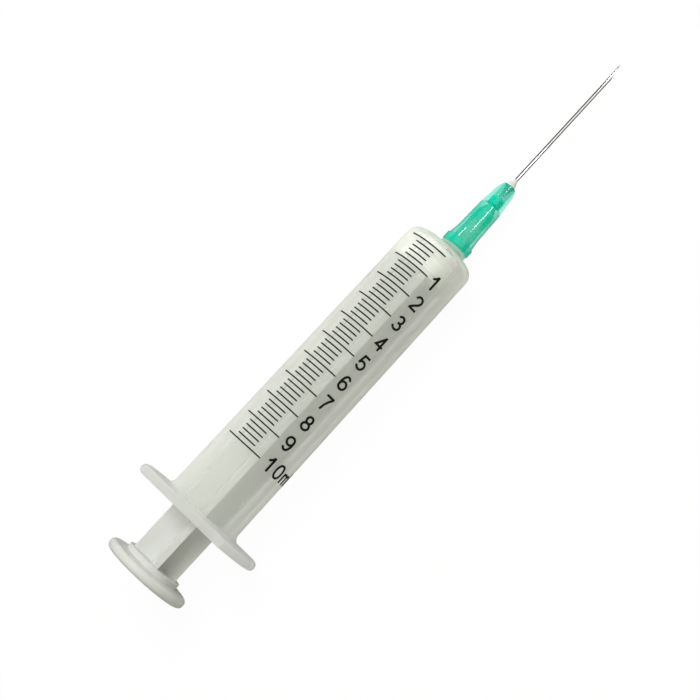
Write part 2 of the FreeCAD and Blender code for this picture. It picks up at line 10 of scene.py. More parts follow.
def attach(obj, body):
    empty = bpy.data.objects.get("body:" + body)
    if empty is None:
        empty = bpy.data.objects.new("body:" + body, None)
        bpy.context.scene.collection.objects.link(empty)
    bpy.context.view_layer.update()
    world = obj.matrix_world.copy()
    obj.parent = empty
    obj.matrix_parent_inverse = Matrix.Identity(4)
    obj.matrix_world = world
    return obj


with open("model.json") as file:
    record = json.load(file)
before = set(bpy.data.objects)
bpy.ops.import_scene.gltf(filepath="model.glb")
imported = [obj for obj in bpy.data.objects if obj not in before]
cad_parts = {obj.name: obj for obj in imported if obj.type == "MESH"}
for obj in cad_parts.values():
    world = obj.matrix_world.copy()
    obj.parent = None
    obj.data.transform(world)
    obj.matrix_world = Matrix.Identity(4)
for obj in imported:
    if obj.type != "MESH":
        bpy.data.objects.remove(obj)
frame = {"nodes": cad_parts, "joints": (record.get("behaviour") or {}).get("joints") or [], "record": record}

bl_info = {
    "name": "Ten Millilitre Syringe",
    "version": (1, 0, 0),
    "blender": (4, 5, 0),
    "location": "View3D > Sidebar > Syringe",
    "description": "Dresses a two-piece slip tip syringe and its needle, prints its numbers and lights it",
    "category": "Object",
}

MILLIMETRE = 1e-3
MILLILITRES = 10
UNMOVED_NUMBER = 6

# The syringe's own axes in the frame: forward to the needle, aside to one wing, out of the scale.
SLIDE = next(joint for joint in frame["joints"] if joint["name"] == "plunger_slide")
THUMB_REST = next(mount for mount in frame["record"]["mounts"] if mount["name"] == "thumb_rest_face")
FORWARD = -Vector(SLIDE["axis"]).normalized()
ASIDE = Vector((0, 1, 0))
OUTWARD = FORWARD.cross(ASIDE)
ON_AXIS = Vector(THUMB_REST["pos_m"])

WHITE = (1, 1, 1, 1)
# Share of a soft noise's range in which a colour or a number wanders.
COLOUR_BAND = (0.35, 0.65)
NUMBER_BAND = (0.3, 0.7)

POLYPROPYLENE_IOR = 1.49
POLYETHYLENE_IOR = 1.51
RESIN_IOR = 1.52

# Zones of the barrel: forward of the zero line, and for the wings off the axis. Past the end zone the boss
# goes back to the paler thin colour. That colour is painted light, lifting the shade that the barrel's front
# and the hub cast on the boss.
FRONT_ZONE = (1.0 * MILLIMETRE, 3.0 * MILLIMETRE)
END_ZONE = (2.0 * MILLIMETRE, 4.2 * MILLIMETRE)
END_BLUR = 1.0 * MILLIMETRE
WINGS_ZONE = (8.9 * MILLIMETRE, 9.6 * MILLIMETRE)
BARREL_TINT = (0.98, 0.985, 0.975, 1)
# Share of its light that the barrel takes from behind, in the tube and ahead of the zero line.
FROM_BEHIND = (0.62, 0.92)

# The plunger's head: where its paler colour starts and is full, behind the head's face. The paler colour is
# painted light that stands in for light passing through the head.
PAINTED_HEAD_LIGHT_ZONE = (10 * MILLIMETRE, 7 * MILLIMETRE)

# Zones of the hub in millimetres from its rear face: start, end, blur, share of light held back.
HUB_FLANGE = (-1.0, 1.9, 0.2, 0.72)
HUB_MIDDLE = (7.4, 11.6, 0.6, 0.50)
HUB_SOLID = (11.4, 15.0, 0.4, 0.92)
HUB_NOSE = (15.0, 20.0, 0.4, 0.45)
# Off the hub's axis the core fades out between these radii.
CORE_EDGE = (1.85 * MILLIMETRE, 1.5 * MILLIMETRE)
HUB_FROM_BEHIND = 0.4

RESIN_TINT = (0.95, 0.97, 0.95, 1)
RESIN_DEEPER = 0.92

# The floor's paper, and the dark card that gloss sees in its place.
PAPER_DEEP = (0.86, 0.86, 0.86)
PAPER_LIGHT = (0.89, 0.89, 0.89)
DARK_CARD = (0.08, 0.08, 0.07, 1)
# Degrees from the camera's direction at which the mirrored dome is dark and is bright.
DOME_DARK = 52
DOME_BRIGHT = 40
# The long lamps that only gloss mirrors: name, place along X, length, lean towards +Y in degrees.
GLINTS = (
    ("near_glint", 0.204, 0.040, -34),
    ("far_glint", 0.360, 0.150, 19),
)

# Least share of a stroke's half width at a sharp turn, which limits the mitre.
MITRE_LIMIT = 0.35


class PrintedScale:
    """Where the printed lines lie on the barrel, read from the scale's own solids."""

    def __init__(self, node, millilitres, line_width):
        places = [vertex.co - ON_AXIS for vertex in frame["nodes"][node].data.vertices]
        along = [place.dot(FORWARD) for place in places]
        first = max(along) - line_width / 2
        last = min(along) + line_width / 2
        self.zero = ON_AXIS + FORWARD * first
        self.spacing = (first - last) / millilitres
        self.length = first - last
        self.front = self.radii(places, along, first, line_width)
        self.rear = self.radii(places, along, last, line_width)

    @staticmethod
    def radii(places, along, where, line_width):
        """The least and the greatest radius of the ink in one line."""
        near = [
            (place - FORWARD * reach).length
            for place, reach in zip(places, along)
            if abs(reach - where) < line_width
        ]
        return min(near), max(near)

    def place(self, forward, angle, outer):
        """A point of the ink's outer or inner face, forward of the zero line, at an angle to -Y."""
        share = -forward / self.length
        face = 1 if outer else 0
        radius = self.front[face] + (self.rear[face] - self.front[face]) * share
        turned = OUTWARD * math.cos(angle) - ASIDE * math.sin(angle)
        return self.zero + FORWARD * forward + turned * radius


class PrintSizes(bpy.types.PropertyGroup):
    """Sizes of the printed numbers."""

    line_width: FloatProperty(
        name="Line Width", description="Width of a line of the scale",
        default=0.30 * MILLIMETRE, subtype="DISTANCE", unit="LENGTH",
    )
    height: FloatProperty(
        name="Number Height", description="Height of a number, along the barrel",
        default=3.45 * MILLIMETRE, subtype="DISTANCE", unit="LENGTH",
    )
    stroke: FloatProperty(
        name="Stroke Width", description="Width of the strokes that draw a number",
        default=0.50 * MILLIMETRE, subtype="DISTANCE", unit="LENGTH",
    )
    breadth: FloatProperty(
        name="Breadth", description="Stretch of the numbers round the barrel",
        default=1.10, min=0.5, max=2,
    )
    lead: FloatProperty(
        name="Lead", description="Middle of a number to its line, towards the needle",
        default=0.28 * MILLIMETRE, subtype="DISTANCE", unit="LENGTH",
    )
    drift: FloatProperty(
        name="Drift", description="How much closer together the numbers stand than their lines",
        default=0.05 * MILLIMETRE, subtype="DISTANCE", unit="LENGTH",
    )
    start: FloatProperty(
        name="Start Angle", description="Middle of the scale to a number's first stroke, round the barrel",
        default=math.radians(41.2), subtype="ANGLE", unit="ROTATION",
    )
    step: FloatProperty(
        name="Smallest Step", description="Distance between two points of a stroke",
        default=0.22 * MILLIMETRE, subtype="DISTANCE", unit="LENGTH",
    )


class PlasticColours(bpy.types.PropertyGroup):
    """Colours and clearness of the two large mouldings."""

    # Also used on the boss ahead of the closed end. There this paler colour is painted light against the
    # shade of the barrel's front and the hub.
    barrel_light: FloatVectorProperty(
        name="Barrel Light", description="Natural polypropylene where it is thin",
        default=(0.92, 0.93, 0.90), size=3, subtype="COLOR", min=0, max=1,
    )
    barrel_deep: FloatVectorProperty(
        name="Barrel Deep", description="Natural polypropylene where it is thick or flows meet",
        default=(0.88, 0.89, 0.86), size=3, subtype="COLOR", min=0, max=1,
    )
    barrel_wings: FloatVectorProperty(
        name="Barrel Wings", description="Natural polypropylene in the flange",
        default=(0.795, 0.805, 0.785), size=3, subtype="COLOR", min=0, max=1,
    )
    barrel_end: FloatVectorProperty(
        name="Barrel End", description="Natural polypropylene in the closed end",
        default=(0.650, 0.705, 0.645), size=3, subtype="COLOR", min=0, max=1,
    )
    barrel_veil: FloatProperty(
        name="Barrel Veil", description="Share of light that one face of the barrel holds back",
        default=0.26, subtype="FACTOR", min=0, max=1,
    )
    barrel_edge_veil: FloatProperty(
        name="Barrel Edge Veil", description="The same where the face is seen at a slant",
        default=0.92, subtype="FACTOR", min=0, max=1,
    )
    barrel_thick_veil: FloatProperty(
        name="Barrel Thick Veil", description="The same in the flange and the closed end",
        default=0.85, subtype="FACTOR", min=0, max=1,
    )
    plunger_light: FloatVectorProperty(
        name="Plunger Light", description="Natural polyethylene where it is thin",
        default=(0.675, 0.69, 0.675), size=3, subtype="COLOR", min=0, max=1,
    )
    plunger_deep: FloatVectorProperty(
        name="Plunger Deep", description="Natural polyethylene where it is thick",
        default=(0.64, 0.65, 0.62), size=3, subtype="COLOR", min=0, max=1,
    )
    # Painted light: the head's paler colour stands in for light that passes through the head.
    plunger_head: FloatVectorProperty(
        name="Plunger Head", description="Natural polyethylene in the head",
        default=(0.92, 0.93, 0.91), size=3, subtype="COLOR", min=0, max=1,
    )


class NeedleColours(bpy.types.PropertyGroup):
    """Colours of the needle's hub, its adhesive and its tube."""

    hub_body: FloatVectorProperty(
        name="Hub Body", description="Green polypropylene as it scatters light",
        default=(0.0, 0.77, 0.59), size=3, subtype="COLOR", min=0, max=1,
    )
    hub_deep: FloatVectorProperty(
        name="Hub Deep", description="The same where it is thicker",
        default=(0.0, 0.71, 0.51), size=3, subtype="COLOR", min=0, max=1,
    )
    hub_tint: FloatVectorProperty(
        name="Hub Tint", description="Colour that passes through one face of the hub",
        default=(0.68, 0.975, 0.925), size=3, subtype="COLOR", min=0, max=1,
    )
    hub_veil: FloatProperty(
        name="Hub Veil", description="Share of light that one face of the hub holds back",
        default=0.15, subtype="FACTOR", min=0, max=1,
    )
    adhesive: FloatVectorProperty(
        name="Adhesive", description="Cured adhesive between hub and tube",
        default=(0.88, 0.90, 0.87), size=3, subtype="COLOR", min=0, max=1,
    )
    steel_light: FloatVectorProperty(
        name="Steel Light", description="Drawn stainless steel",
        default=(0.92, 0.91, 0.89), size=3, subtype="COLOR", min=0, max=1,
    )
    steel_deep: FloatVectorProperty(
        name="Steel Deep", description="Stainless steel in its drawing marks",
        default=(0.80, 0.79, 0.77), size=3, subtype="COLOR", min=0, max=1,
    )


class StudioSizes(bpy.types.PropertyGroup):
    """Floor, lamps and camera."""

    floor_size: FloatProperty(
        name="Floor Size", description="Side of the square floor",
        default=3.0, subtype="DISTANCE", unit="LENGTH",
    )
    floor_lift: FloatProperty(
        name="Floor Lift", description="Share of plain white that the camera sees in the floor",
        default=0.97, subtype="FACTOR", min=0, max=1,
    )
    key_power: FloatProperty(
        name="Key Power", description="Power of the large lamp on the flange's far side",
        default=2.25, subtype="POWER", unit="POWER", min=0,
    )
    key_size: FloatProperty(
        name="Key Size", description="Side of the large lamp",
        default=0.34, subtype="DISTANCE", unit="LENGTH",
    )
    key_distance: FloatProperty(
        name="Key Distance", description="Large lamp to the syringe",
        default=0.50, subtype="DISTANCE", unit="LENGTH",
    )
    key_bearing: FloatProperty(
        name="Key Bearing", description="Turn of the large lamp from the needle towards +Y",
        default=math.radians(52.0), subtype="ANGLE", unit="ROTATION",
    )
    key_rise: FloatProperty(
        name="Key Rise", description="Height of the large lamp above the floor, as an angle",
        default=math.radians(70.0), subtype="ANGLE", unit="ROTATION",
    )
    sky: FloatProperty(
        name="Sky", description="Brightness of the soft light from all round",
        default=0.40, min=0, max=1,
    )
    glint_brightness: FloatProperty(
        name="Glint Brightness", description="Brightness of the long lamps that only gloss mirrors",
        default=13.0, min=0,
    )
    glint_width: FloatProperty(
        name="Glint Width", description="Width of each long lamp",
        default=0.085, subtype="DISTANCE", unit="LENGTH",
    )
    sky_colour: FloatVectorProperty(
        name="Sky Colour", description="Colour of the soft light from all round",
        default=(1.0, 0.975, 0.82), size=3, subtype="COLOR", min=0, max=1,
    )
    horizon: FloatProperty(
        name="Horizon", description="Brightness of the dark rim that gloss and metal mirror",
        default=0.05, min=0, max=1,
    )
    aim: FloatVectorProperty(
        name="Aim", description="Point that the middle of the picture shows",
        default=(-0.012013, 0.000518, 0.008424), size=3, subtype="XYZ", unit="LENGTH",
    )
    distance: FloatProperty(
        name="Camera Distance", description="Camera to the aim",
        default=0.278164, subtype="DISTANCE", unit="LENGTH",
    )
    azimuth: FloatProperty(
        name="Azimuth", description="Turn of the camera round the syringe",
        default=math.radians(-12.726), subtype="ANGLE", unit="ROTATION",
    )
    elevation: FloatProperty(
        name="Elevation", description="Height of the camera above the floor, as an angle",
        default=math.radians(64.767), subtype="ANGLE", unit="ROTATION",
    )
    roll: FloatProperty(
        name="Roll", description="Turn of the picture about the line of sight",
        default=math.radians(-36.310), subtype="ANGLE", unit="ROTATION",
    )
    lens: FloatProperty(
        name="Lens", description="Focal length in millimetres on a 36 mm sensor",
        default=67.29, min=1,
    )


def add(tree, kind, sockets=None, **settings):
    """A new node with its settings; each socket gets a plain value or a link."""
    made = tree.nodes.new(kind)
    for name, value in settings.items():
        setattr(made, name, value)
    for name, value in (sockets or {}).items():
        if isinstance(value, bpy.types.NodeSocket):
            tree.links.new(value, made.inputs[name])
        else:
            made.inputs[name].default_value = value
    return made


def new_material(name):
    """An empty node material."""
    material = bpy.data.materials.new(name)
    material.use_nodes = True
    material.node_tree.nodes.clear()
    return material


def coordinates(tree, stretch=(1, 1, 1)):
    """Places on the piece in metres, stretched along the frame's axes."""
    source = add(tree, "ShaderNodeTexCoord")
    mapped = add(tree, "ShaderNodeMapping", {"Vector": source.outputs["Object"], "Scale": stretch})
    return mapped.outputs["Vector"]


def noise(tree, size, detail=3.0, stretch=(1, 1, 1)):
    """Soft irregular values whose patches are about the given size across."""
    made = add(
        tree, "ShaderNodeTexNoise",
        {"Vector": coordinates(tree, stretch), "Scale": 1 / size, "Detail": detail, "Roughness": 0.55},
    )
    return made.outputs["Fac"]


def mottle(tree, factor, deep, light):
    """A colour that wanders between two close colours."""
    ramp = add(tree, "ShaderNodeValToRGB", {"Fac": factor})
    ramp.color_ramp.elements[0].position = COLOUR_BAND[0]
    ramp.color_ramp.elements[0].color = (*deep, 1)
    ramp.color_ramp.elements[1].position = COLOUR_BAND[1]
    ramp.color_ramp.elements[1].color = (*light, 1)
    return ramp.outputs["Color"]


def blend(tree, first, second, share):
    """Two colours mixed; the share is the second one's."""
    made = add(tree, "ShaderNodeMix", data_type="RGBA")
    for name, value in (("Factor_Float", share), ("A_Color", first), ("B_Color", second)):
        socket = next(each for each in made.inputs if each.identifier == name)
        if isinstance(value, bpy.types.NodeSocket):
            tree.links.new(value, socket)
        else:
            socket.default_value = value
    return next(each for each in made.outputs if each.identifier == "Result_Color")


def coat(tree, shader, roughness):
    """A glossy skin on the outer side, at the strength that a plastic mirrors."""
    gloss = add(tree, "ShaderNodeBsdfAnisotropic", {"Color": WHITE, "Roughness": roughness})
    mirrored = add(tree, "ShaderNodeFresnel", {"IOR": POLYPROPYLENE_IOR})
    side = add(tree, "ShaderNodeNewGeometry")
    outer = add(tree, "ShaderNodeMath", {0: 1.0, 1: side.outputs["Backfacing"]}, operation="SUBTRACT")
    return mix(tree, shader, gloss, times(tree, mirrored.outputs["Fac"], outer.outputs["Value"]))


def spread(tree, factor, least, most):
    """A number that wanders between two limits."""
    made = add(
        tree, "ShaderNodeMapRange",
        {
            "Value": factor, "From Min": NUMBER_BAND[0], "From Max": NUMBER_BAND[1],
            "To Min": least, "To Max": most,
        },
    )
    return made.outputs["Result"]


def relief(tree, height, strength, depth):
    """Fine relief of a moulded, ground or drawn face."""
    made = add(tree, "ShaderNodeBump", {"Height": height, "Strength": strength, "Distance": depth})
    return made.outputs["Normal"]


def finish_material(tree, shader):
    """Joins the last shader to the material's output."""
    add(tree, "ShaderNodeOutputMaterial", {"Surface": shader})


def mix(tree, first, second, share):
    """Two shaders mixed; the share is the second one's."""
    mixed = add(tree, "ShaderNodeMixShader", {"Fac": share})
    tree.links.new(first.outputs[0], mixed.inputs[1])
    tree.links.new(second.outputs[0], mixed.inputs[2])
    return mixed


def slanted(tree, facing, edge, start, end):
    """A share that rises from one value, seen straight on, to another, seen at a slant."""
    weight = add(tree, "ShaderNodeLayerWeight", {"Blend": 0.5})
    made = add(
        tree, "ShaderNodeMapRange",
        {
            "Value": weight.outputs["Facing"], "From Min": start, "From Max": end,
            "To Min": facing, "To Max": edge,
        },
    )
    return made.outputs["Result"]


def rise(tree, value, start, end):
    """A soft step from nothing up to one."""
    made = add(
        tree, "ShaderNodeMapRange",
        {"Value": value, "From Min": start, "From Max": end, "To Min": 0.0, "To Max": 1.0},
        interpolation_type="SMOOTHSTEP",
    )
    return made.outputs["Result"]


def larger(tree, first, second):
    """The larger of two numbers."""
    made = add(tree, "ShaderNodeMath", {0: first, 1: second}, operation="MAXIMUM")
    return made.outputs["Value"]


def times(tree, first, second):
    """The product of two numbers."""
    made = add(tree, "ShaderNodeMath", {0: first, 1: second}, operation="MULTIPLY")
    return made.outputs["Value"]


def along_and_off_axis(tree, origin):
    """Distance forward of a point, and distance from the line through it along the barrel."""
    source = add(tree, "ShaderNodeTexCoord")
    place = add(tree, "ShaderNodeVectorMath", {0: source.outputs["Object"], 1: origin}, operation="SUBTRACT")
    pair = {0: place.outputs["Vector"], 1: FORWARD}
    along = add(tree, "ShaderNodeVectorMath", pair, operation="DOT_PRODUCT")
    cross = add(tree, "ShaderNodeVectorMath", pair, operation="CROSS_PRODUCT")
    off = add(tree, "ShaderNodeVectorMath", {0: cross.outputs["Vector"]}, operation="LENGTH")
    return along.outputs["Value"], off.outputs["Value"]


def barrel_plastic(colours, zero_line):
    """Natural polypropylene, moulded to a soft gloss and clear enough to show the plunger."""
    material = new_material("barrel_polypropylene")
    tree = material.node_tree
    along, off = along_and_off_axis(tree, ON_AXIS)
    front = rise(tree, along, zero_line + FRONT_ZONE[0], zero_line + FRONT_ZONE[1])
    wings = rise(tree, off, *WINGS_ZONE)
    end = between(tree, along, zero_line + END_ZONE[0], zero_line + END_ZONE[1], END_BLUR)
    flow = noise(tree, 9 * MILLIMETRE, detail=2.0, stretch=(0.4, 1, 1))
    thin_wall_and_painted_boss_light_colour = mottle(tree, flow, colours.barrel_deep, colours.barrel_light)
    # Painted light: past the end zone the boss keeps the paler thin colour, which lifts the shade that the
    # barrel's front and the hub cast on it.
    end_colour = blend(tree, thin_wall_and_painted_boss_light_colour, (*colours.barrel_end, 1), end)
    colour = blend(tree, end_colour, (*colours.barrel_wings, 1), wings)
    body = add(
        tree, "ShaderNodeBsdfPrincipled",
        {
            "Base Color": colour,
            "Roughness": spread(tree, flow, 0.26, 0.36),
            "IOR": POLYPROPYLENE_IOR,
            "Normal": relief(tree, flow, 0.10, 0.02 * MILLIMETRE),
        },
    )
    through = add(tree, "ShaderNodeBsdfTranslucent", {"Color": colour})
    clear = add(tree, "ShaderNodeBsdfTransparent", {"Color": BARREL_TINT})
    passing = add(
        tree, "ShaderNodeMapRange", {"Value": front, "To Min": FROM_BEHIND[0], "To Max": FROM_BEHIND[1]},
    )
    milky = mix(tree, body, through, passing.outputs["Result"])
    wall = slanted(tree, facing=colours.barrel_veil, edge=colours.barrel_edge_veil, start=0.22, end=0.70)
    veil = larger(tree, wall, times(tree, larger(tree, front, wings), colours.barrel_thick_veil))
    finish_material(tree, mix(tree, clear, milky, veil).outputs["Shader"])
    return material


def plunger_plastic(colours, head_face):
    """Natural polyethylene, satin and opaque, with a paler head painted as light passing through it."""
    material = new_material("plunger_polyethylene")
    tree = material.node_tree
    flow = noise(tree, 5 * MILLIMETRE, detail=2.0, stretch=(0.5, 1, 1))
    grain = noise(tree, 0.35 * MILLIMETRE, detail=3.0)
    along, _ = along_and_off_axis(tree, ON_AXIS)
    # Painted light: the head is blended to a paler colour that stands in for light passing through it.
    head = rise(tree, along, head_face - PAINTED_HEAD_LIGHT_ZONE[0], head_face - PAINTED_HEAD_LIGHT_ZONE[1])
    stem_colour = mottle(tree, flow, colours.plunger_deep, colours.plunger_light)
    body = add(
        tree, "ShaderNodeBsdfPrincipled",
        {
            "Base Color": blend(tree, stem_colour, (*colours.plunger_head, 1), head),
            "Roughness": spread(tree, grain, 0.34, 0.50),
            "IOR": POLYETHYLENE_IOR,
            "Subsurface Weight": 0.15,
            "Subsurface Radius": (1.0, 1.0, 0.9),
            "Subsurface Scale": 1.0 * MILLIMETRE,
            "Normal": relief(tree, grain, 0.10, 0.02 * MILLIMETRE),
        },
    )
    finish_material(tree, body.outputs["BSDF"])
    return material


def scale_ink():
    """Black printing ink, a little uneven."""
    material = new_material("scale_printing_ink")
    tree = material.node_tree
    cover = noise(tree, 0.6 * MILLIMETRE, detail=4.0)
    body = add(
        tree, "ShaderNodeBsdfPrincipled",
        {
            "Base Color": mottle(tree, cover, (0.002, 0.002, 0.002), (0.006, 0.006, 0.005)),
            "Roughness": spread(tree, cover, 0.50, 0.70),
            "Specular IOR Level": 0.15,
        },
    )
    finish_material(tree, body.outputs["BSDF"])
    return material


def between(tree, value, start, end, blur):
    """One between two values, nothing outside them, with blurred ends."""
    after = rise(tree, value, start - blur, start + blur)
    before = rise(tree, value, end - blur, end + blur)
    made = add(tree, "ShaderNodeMath", {0: after, 1: before}, operation="SUBTRACT")
    return made.outputs["Value"]


def zone(tree, along, limits):
    """What one zone of the hub holds back, and nothing outside it."""
    start, end, blur, share = limits
    inside = between(tree, along, start * MILLIMETRE, end * MILLIMETRE, blur * MILLIMETRE)
    return times(tree, inside, share)


def hub_plastic(colours, rear):
    """Green translucent polypropylene with a high gloss, deeper where it is solid."""
    material = new_material("hub_polypropylene")
    tree = material.node_tree
    flow = noise(tree, 3 * MILLIMETRE, detail=2.0, stretch=(0.4, 1, 1))
    body = add(
        tree, "ShaderNodeBsdfPrincipled",
        {
            "Base Color": mottle(tree, flow, colours.hub_deep, colours.hub_body),
            "Roughness": spread(tree, flow, 0.25, 0.35),
            "IOR": POLYPROPYLENE_IOR,
            "Specular IOR Level": 0.1,
            "Normal": relief(tree, flow, 0.05, 0.02 * MILLIMETRE),
        },
    )
    through = add(tree, "ShaderNodeBsdfTranslucent", {"Color": (*colours.hub_body, 1)})
    clear = add(tree, "ShaderNodeBsdfTransparent", {"Color": (*colours.hub_tint, 1)})
    along, off = along_and_off_axis(tree, rear)
    core = rise(tree, off, *CORE_EDGE)
    whole = larger(tree, zone(tree, along, HUB_FLANGE), zone(tree, along, HUB_MIDDLE))
    inside = times(tree, larger(tree, zone(tree, along, HUB_SOLID), zone(tree, along, HUB_NOSE)), core)
    wall = slanted(tree, facing=colours.hub_veil, edge=0.60, start=0.20, end=0.85)
    veil = larger(tree, wall, larger(tree, whole, inside))
    plastic = mix(tree, clear, mix(tree, body, through, HUB_FROM_BEHIND), veil)
    finish_material(tree, coat(tree, plastic, spread(tree, flow, 0.03, 0.05)).outputs["Shader"])
    return material


def adhesive_resin(colours):
    """Cured adhesive, milky and glossy."""
    material = new_material("cured_adhesive")
    tree = material.node_tree
    cloud = noise(tree, 0.8 * MILLIMETRE, detail=3.0)
    deep = [part * RESIN_DEEPER for part in colours.adhesive]
    body = add(
        tree, "ShaderNodeBsdfPrincipled",
        {
            "Base Color": mottle(tree, cloud, deep, colours.adhesive),
            "Roughness": spread(tree, cloud, 0.12, 0.25),
            "IOR": RESIN_IOR,
            "Normal": relief(tree, cloud, 0.10, 0.05 * MILLIMETRE),
        },
    )
    clear = add(tree, "ShaderNodeBsdfTransparent", {"Color": RESIN_TINT})
    veil = slanted(tree, facing=0.86, edge=0.97, start=0.2, end=0.9)
    finish_material(tree, mix(tree, clear, body, veil).outputs["Shader"])
    return material


def needle_steel(colours):
    """Drawn stainless steel, bright, with fine marks along the tube."""
    material = new_material("drawn_stainless_steel")
    tree = material.node_tree
    marks = noise(tree, 0.10 * MILLIMETRE, detail=4.0, stretch=(0.03, 1, 1))
    body = add(
        tree, "ShaderNodeBsdfPrincipled",
        {
            "Base Color": mottle(tree, marks, colours.steel_deep, colours.steel_light),
            "Metallic": 1.0,
            "Roughness": spread(tree, marks, 0.05, 0.08),
            "Normal": relief(tree, marks, 0.02, 0.001 * MILLIMETRE),
        },
    )
    finish_material(tree, body.outputs["BSDF"])
    return material


def dress(node, material):
    """Gives a piece of the frame its finish."""
    piece = frame["nodes"][node]
    piece.data.materials.clear()
    piece.data.materials.append(material)


def arc(centre, radii, start, end, squareness=2.0, count=28):
    """Points of an ellipse, or of a squarer oval, from one angle to another in degrees."""
    points = []
    for index in range(count + 1):
        angle = math.radians(start + (end - start) * index / count)
        cosine = math.cos(angle)
        sine = math.sin(angle)
        across = math.copysign(abs(cosine) ** (2 / squareness), cosine)
        along = math.copysign(abs(sine) ** (2 / squareness), sine)
        points.append((centre[0] + radii[0] * across, centre[1] + radii[1] * along))
    return points


# Strokes of the printed signs.  Across runs from 0, and a number is 1 high.
NINE_TO_SIX = (0.595, 1.0)
SIX = (
    arc((0.305, 0.315), (0.232, 0.257), 0, 360),
    arc((0.315, 0.470), (0.243, 0.472), 42, 205),
)
SIGNS = {
    "0": (arc((0.298, 0.500), (0.238, 0.442), 0, 360, squareness=2.3, count=40),),
    "1": (
        [(0.300, 0.0), (0.300, 1.0)],
        [(0.015, 0.655), (0.105, 0.705), (0.200, 0.800), (0.275, 0.955)],
    ),
    "2": (
        arc((0.300, 0.700), (0.222, 0.242), 172, -28)
        + [(0.400, 0.440), (0.225, 0.275), (0.085, 0.095), (0.080, 0.058), (0.560, 0.058)],
    ),
    "3": (
        arc((0.280, 0.722), (0.190, 0.220), 158, -90) + [(0.215, 0.502)],
        [(0.215, 0.515)] + arc((0.285, 0.285), (0.232, 0.227), 90, -166),
    ),
    "4": (
        [(0.420, 0.0), (0.420, 1.0)],
        [(0.430, 0.960), (0.085, 0.300), (0.590, 0.300)],
    ),
    "5": (
        [(0.530, 0.942), (0.165, 0.942), (0.090, 0.470)]
        + arc((0.295, 0.325), (0.238, 0.267), 148, -162),
    ),
    "6": SIX,
    "7": ([(0.035, 0.942), (0.525, 0.942), (0.525, 0.900), (0.370, 0.660), (0.260, 0.360), (0.210, 0.0)],),
    "8": (
        arc((0.298, 0.726), (0.190, 0.216), 0, 360),
        arc((0.298, 0.284), (0.235, 0.226), 0, 360),
    ),
    "9": [[(NINE_TO_SIX[0] - x, NINE_TO_SIX[1] - y) for x, y in stroke] for stroke in SIX],
    "m": (
        [(0.058, 0.0), (0.058, 0.725)],
        [(0.058, 0.470)] + arc((0.230, 0.470), (0.172, 0.200), 180, 0) + [(0.402, 0.0)],
        [(0.402, 0.470)] + arc((0.572, 0.470), (0.170, 0.200), 180, 0) + [(0.742, 0.0)],
    ),
    "l": ([(0.058, 0.0), (0.058, 1.0)],),
}
WIDTHS = {"1": 0.36, "m": 0.80, "l": 0.116}
USUAL_WIDTH = 0.595
# Room before each sign of the longest number, as shares of the height.
LAST_NUMBER = (("1", 0.07), ("0", 0.37), ("m", 0.20), ("l", 0.12))


def evenly(points, step):
    """The same line with points no further apart than one step."""
    dense = [Vector(points[0])]
    for point in points[1:]:
        end = Vector(point)
        start = dense[-1]
        parts = max(1, math.ceil((end - start).length / step))
        for part in range(1, parts + 1):
            dense.append(start.lerp(end, part / parts))
    return dense


def edges_of_stroke(points, half, closed):
    """Left and right edge of a stroke, mitred where it turns."""
    lefts = []
    rights = []
    last = len(points) - 1
    for index, point in enumerate(points):
        before = points[index - 1] if index else points[last - 1 if closed else 0]
        after = points[index + 1] if index < last else points[1 if closed else last]
        incoming = (point - before).normalized() if point != before else (after - point).normalized()
        outgoing = (after - point).normalized() if after != point else incoming
        tangent = (incoming + outgoing).normalized()
        side = Vector((-tangent.y, tangent.x))
        reach = half / max(MITRE_LIMIT, side.dot(Vector((-incoming.y, incoming.x))))
        lefts.append(point + side * reach)
        rights.append(point - side * reach)
    return lefts, rights


def add_stroke(mesh, scale, points, sizes, origin):
    """One stroke of ink as a thin closed shell that lies on the barrel."""
    forward, start_angle, radius = origin
    unit = sizes.height
    flat = evenly([(x * unit * sizes.breadth, y * unit) for x, y in points], sizes.step)
    closed = (flat[0] - flat[-1]).length < sizes.stroke / 10
    lefts, rights = edges_of_stroke(flat, sizes.stroke / 2, closed)
    rings = []
    for left, right in zip(lefts, rights):
        ring = []
        for place, outer in ((left, True), (right, True), (right, False), (left, False)):
            angle = start_angle + place.x / radius
            ring.append(mesh.verts.new(scale.place(forward + place.y, angle, outer)))
        rings.append(ring)
    if closed:
        for vertex in rings.pop():
            mesh.verts.remove(vertex)
        rings.append(rings[0])
    for ring, following in zip(rings, rings[1:]):
        for corner in range(4):
            turned = (corner + 1) % 4
            mesh.faces.new((ring[corner], following[corner], following[turned], ring[turned]))
    if not closed:
        mesh.faces.new(rings[0])
        mesh.faces.new(reversed(rings[-1]))


def print_number(scale, sizes, millilitres, signs):
    """One printed number beside its line, as one piece of ink."""
    mesh = bmesh.new()
    lead = sizes.lead + sizes.drift * (millilitres - UNMOVED_NUMBER)
    forward = -millilitres * scale.spacing + lead - sizes.height / 2
    radius = scale.front[1]
    angle = sizes.start
    for sign, room in signs:
        angle += room * sizes.height / radius
        for stroke in SIGNS[sign]:
            add_stroke(mesh, scale, stroke, sizes, (forward, angle, radius))
        angle += WIDTHS.get(sign, USUAL_WIDTH) * sizes.height * sizes.breadth / radius
    bmesh.ops.recalc_face_normals(mesh, faces=mesh.faces)
    name = f"scale_number_{millilitres}"
    data = bpy.data.meshes.new(name)
    mesh.to_mesh(data)
    mesh.free()
    piece = bpy.data.objects.new(name, data)
    bpy.context.scene.collection.objects.link(piece)
    return piece


